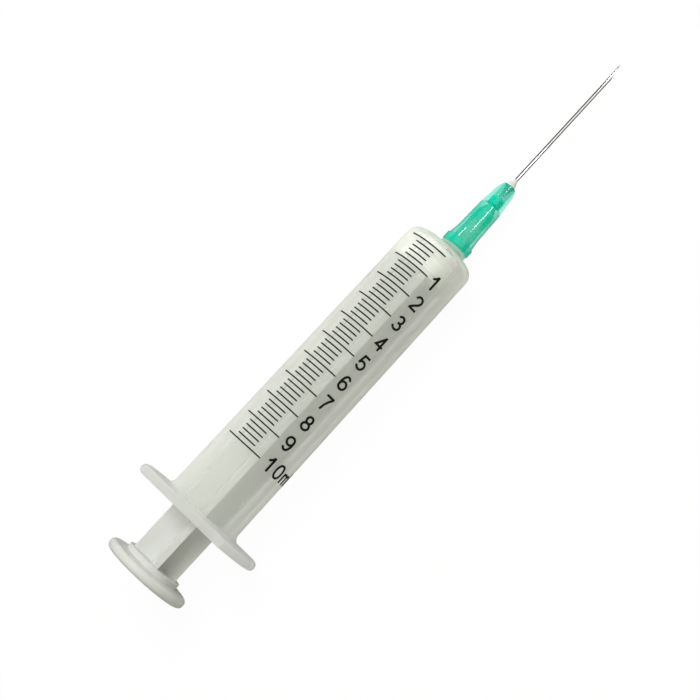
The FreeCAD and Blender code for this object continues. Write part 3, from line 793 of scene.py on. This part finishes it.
def white_for_the_eye(tree, colour, lift):
    """Diffuse colour, mixed with plain white for the camera and clear plastic; gloss sees it dark."""
    path = add(tree, "ShaderNodeLightPath")
    seen = larger(tree, path.outputs["Is Camera Ray"], path.outputs["Is Transmission Ray"])
    share = times(tree, seen, lift)
    diffuse = add(tree, "ShaderNodeBsdfDiffuse", {"Color": colour})
    glow = add(tree, "ShaderNodeEmission", {"Color": WHITE, "Strength": 1.0})
    card = add(tree, "ShaderNodeBsdfDiffuse", {"Color": DARK_CARD})
    lit = mix(tree, diffuse, glow, share)
    return mix(tree, lit, card, path.outputs["Is Glossy Ray"]).outputs["Shader"]


def make_floor(studio):
    """The plain pale floor that the syringe lies on."""
    half = studio.floor_size / 2
    mesh = bmesh.new()
    bmesh.ops.create_grid(mesh, x_segments=2, y_segments=2, size=half)
    data = bpy.data.meshes.new("floor")
    mesh.to_mesh(data)
    mesh.free()
    floor = bpy.data.objects.new("floor", data)
    bpy.context.scene.collection.objects.link(floor)
    material = new_material("pale_floor")
    tree = material.node_tree
    paper = mottle(tree, noise(tree, 60 * MILLIMETRE), PAPER_DEEP, PAPER_LIGHT)
    finish_material(tree, white_for_the_eye(tree, paper, studio.floor_lift))
    data.materials.append(material)


def make_lamp(studio):
    """The large soft lamp on the far side; gloss doesn't mirror it."""
    data = bpy.data.lights.new("key", "AREA")
    data.energy = studio.key_power
    data.size = studio.key_size
    lamp = bpy.data.objects.new("key", data)
    lamp.visible_glossy = False
    bpy.context.scene.collection.objects.link(lamp)
    level = math.cos(studio.key_rise)
    towards = Vector((
        math.cos(studio.key_bearing) * level,
        math.sin(studio.key_bearing) * level,
        math.sin(studio.key_rise),
    ))
    lamp.location = Vector(studio.aim) + towards * studio.key_distance
    lamp.rotation_mode = "QUATERNION"
    lamp.rotation_quaternion = (-towards).to_track_quat("-Z", "Y")


def make_glint(studio, name, place, length, lean):
    """A long lamp that only gloss mirrors, ahead of the syringe and leaning towards +Y."""
    data = bpy.data.lights.new(name, "AREA")
    data.energy = studio.glint_brightness * math.pi * length * studio.glint_width
    data.shape = "RECTANGLE"
    data.size = length
    data.size_y = studio.glint_width
    lamp = bpy.data.objects.new(name, data)
    bpy.context.scene.collection.objects.link(lamp)
    towards = Vector((0, math.sin(lean), math.cos(lean)))
    along = Vector((1, 0, 0))
    turned = Matrix((along, towards.cross(along), towards)).transposed()
    lamp.rotation_mode = "QUATERNION"
    lamp.rotation_quaternion = turned.to_quaternion()
    lamp.location = Vector((place, 0, 0)) + towards * studio.key_distance
    lamp.visible_camera = False
    lamp.visible_diffuse = False
    lamp.visible_transmission = False


def make_world(studio):
    """Soft light from all round, white to the eye; gloss and metal mirror a bright dome with a dark rim."""
    world = bpy.data.worlds.new("studio")
    world.use_nodes = True
    tree = world.node_tree
    tree.nodes.clear()
    path = add(tree, "ShaderNodeLightPath")
    ray = add(tree, "ShaderNodeTexCoord")
    middle = back_to_camera(studio)
    nearness = add(
        tree, "ShaderNodeVectorMath", {0: ray.outputs["Generated"], 1: middle}, operation="DOT_PRODUCT",
    )
    band = add(
        tree, "ShaderNodeMapRange",
        {
            "Value": nearness.outputs["Value"],
            "From Min": math.cos(math.radians(DOME_DARK)),
            "From Max": math.cos(math.radians(DOME_BRIGHT)),
            "To Min": studio.horizon, "To Max": 1.0,
        },
    )
    soft = add(tree, "ShaderNodeBackground", {"Color": (*studio.sky_colour, 1), "Strength": studio.sky})
    mirrored = add(tree, "ShaderNodeBackground", {"Color": WHITE, "Strength": band.outputs["Result"]})
    seen = add(tree, "ShaderNodeBackground", {"Color": WHITE, "Strength": 1.0})
    light = mix(tree, soft, mirrored, path.outputs["Is Glossy Ray"])
    either = larger(tree, path.outputs["Is Camera Ray"], path.outputs["Is Transmission Ray"])
    whole = mix(tree, light, seen, either)
    add(tree, "ShaderNodeOutputWorld", {"Surface": whole.outputs["Shader"]})
    bpy.context.scene.world = world


def back_to_camera(studio):
    """Direction from the syringe to the camera's place."""
    level = math.cos(studio.elevation)
    return Vector((
        math.sin(studio.azimuth) * level,
        -math.cos(studio.azimuth) * level,
        math.sin(studio.elevation),
    ))


def make_camera(studio):
    """The camera at the photograph's viewing angle."""
    data = bpy.data.cameras.new("camera")
    data.lens = studio.lens
    data.sensor_width = 36
    data.clip_start = 0.01
    camera = bpy.data.objects.new("camera", data)
    bpy.context.scene.collection.objects.link(camera)
    back = back_to_camera(studio)
    level_right = Vector((math.cos(studio.azimuth), math.sin(studio.azimuth), 0))
    level_up = back.cross(level_right)
    right = level_right * math.cos(studio.roll) + level_up * math.sin(studio.roll)
    turned = Matrix((right, back.cross(right), back)).transposed()
    camera.rotation_mode = "QUATERNION"
    camera.rotation_quaternion = turned.to_quaternion()
    camera.location = Vector(studio.aim) + back * studio.distance
    bpy.context.scene.camera = camera


def printed_scale(context):
    """The places of the scale that the barrel carries."""
    return PrintedScale("graduation_scale", MILLILITRES, context.scene.syringe_print.line_width)


class SYRINGE_OT_barrel(bpy.types.Operator):
    """Gives the barrel its natural polypropylene"""

    bl_idname = "syringe.barrel"
    bl_label = "Dress Barrel"

    def execute(self, context):
        zero_line = (printed_scale(context).zero - ON_AXIS).length
        dress("barrel", barrel_plastic(context.scene.syringe_plastics, zero_line))
        return {"FINISHED"}


class SYRINGE_OT_plunger(bpy.types.Operator):
    """Gives the plunger its natural polyethylene"""

    bl_idname = "syringe.plunger"
    bl_label = "Dress Plunger"

    def execute(self, context):
        plunger = frame["nodes"]["plunger"].data.vertices
        head_face = max((vertex.co - ON_AXIS).dot(FORWARD) for vertex in plunger)
        dress("plunger", plunger_plastic(context.scene.syringe_plastics, head_face))
        return {"FINISHED"}


class SYRINGE_OT_printing(bpy.types.Operator):
    """Inks the scale's lines and prints a number at each millilitre"""

    bl_idname = "syringe.printing"
    bl_label = "Print Scale"

    def execute(self, context):
        sizes = context.scene.syringe_print
        ink = scale_ink()
        dress("graduation_scale", ink)
        scale = printed_scale(context)
        for millilitres in range(1, MILLILITRES + 1):
            signs = LAST_NUMBER if millilitres == MILLILITRES else ((str(millilitres), 0.0),)
            piece = print_number(scale, sizes, millilitres, signs)
            piece.data.materials.append(ink)
            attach(piece, "barrel")
        return {"FINISHED"}


class SYRINGE_OT_needle(bpy.types.Operator):
    """Gives the needle's hub, adhesive and tube their finishes"""

    bl_idname = "syringe.needle"
    bl_label = "Dress Needle"

    def execute(self, context):
        colours = context.scene.syringe_needle
        tube = next(mount for mount in frame["record"]["mounts"] if mount["name"] == "cannula")
        centre = Vector(tube["pos_m"])
        hub = frame["nodes"]["needle_hub"].data.vertices
        rear = centre + FORWARD * min((vertex.co - centre).dot(FORWARD) for vertex in hub)
        dress("needle_hub", hub_plastic(colours, rear))
        dress("hub_adhesive", adhesive_resin(colours))
        dress("cannula", needle_steel(colours))
        return {"FINISHED"}


class SYRINGE_OT_stage(bpy.types.Operator):
    """Makes the floor, the light and the camera"""

    bl_idname = "syringe.stage"
    bl_label = "Set Stage"

    def execute(self, context):
        studio = context.scene.syringe_studio
        make_floor(studio)
        make_lamp(studio)
        for name, place, length, lean in GLINTS:
            make_glint(studio, name, place, length, math.radians(lean))
        make_world(studio)
        make_camera(studio)
        context.scene.view_settings.view_transform = "Standard"
        return {"FINISHED"}


class SYRINGE_PT_sidebar(bpy.types.Panel):
    """Sizes, colours and steps of the syringe"""

    bl_idname = "SYRINGE_PT_sidebar"
    bl_label = "Syringe"
    bl_space_type = "VIEW_3D"
    bl_region_type = "UI"
    bl_category = "Syringe"

    def draw(self, context):
        scene = context.scene
        for group_name in GROUPS:
            group = getattr(scene, group_name)
            box = self.layout.box()
            for name in group.bl_rna.properties.keys():
                if name not in {"rna_type", "name"}:
                    box.prop(group, name)
        for operator in OPERATORS:
            self.layout.operator(operator.bl_idname)


GROUPS = {
    "syringe_plastics": PlasticColours,
    "syringe_print": PrintSizes,
    "syringe_needle": NeedleColours,
    "syringe_studio": StudioSizes,
}
OPERATORS = (
    SYRINGE_OT_barrel,
    SYRINGE_OT_plunger,
    SYRINGE_OT_printing,
    SYRINGE_OT_needle,
    SYRINGE_OT_stage,
)


def register():
    """Adds the groups, the operators and the panel."""
    for name, group in GROUPS.items():
        bpy.utils.register_class(group)
        setattr(bpy.types.Scene, name, PointerProperty(type=group))
    for operator in OPERATORS:
        bpy.utils.register_class(operator)
    bpy.utils.register_class(SYRINGE_PT_sidebar)


def unregister():
    """Takes them away again."""
    bpy.utils.unregister_class(SYRINGE_PT_sidebar)
    for operator in reversed(OPERATORS):
        bpy.utils.unregister_class(operator)
    for name, group in GROUPS.items():
        delattr(bpy.types.Scene, name)
        bpy.utils.unregister_class(group)


def main():
    """Builds the whole scene."""
    register()
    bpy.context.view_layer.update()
    bpy.ops.syringe.barrel()
    bpy.ops.syringe.plunger()
    bpy.ops.syringe.printing()
    bpy.ops.syringe.needle()
    bpy.ops.syringe.stage()


if __name__ == "__main__":
    main()
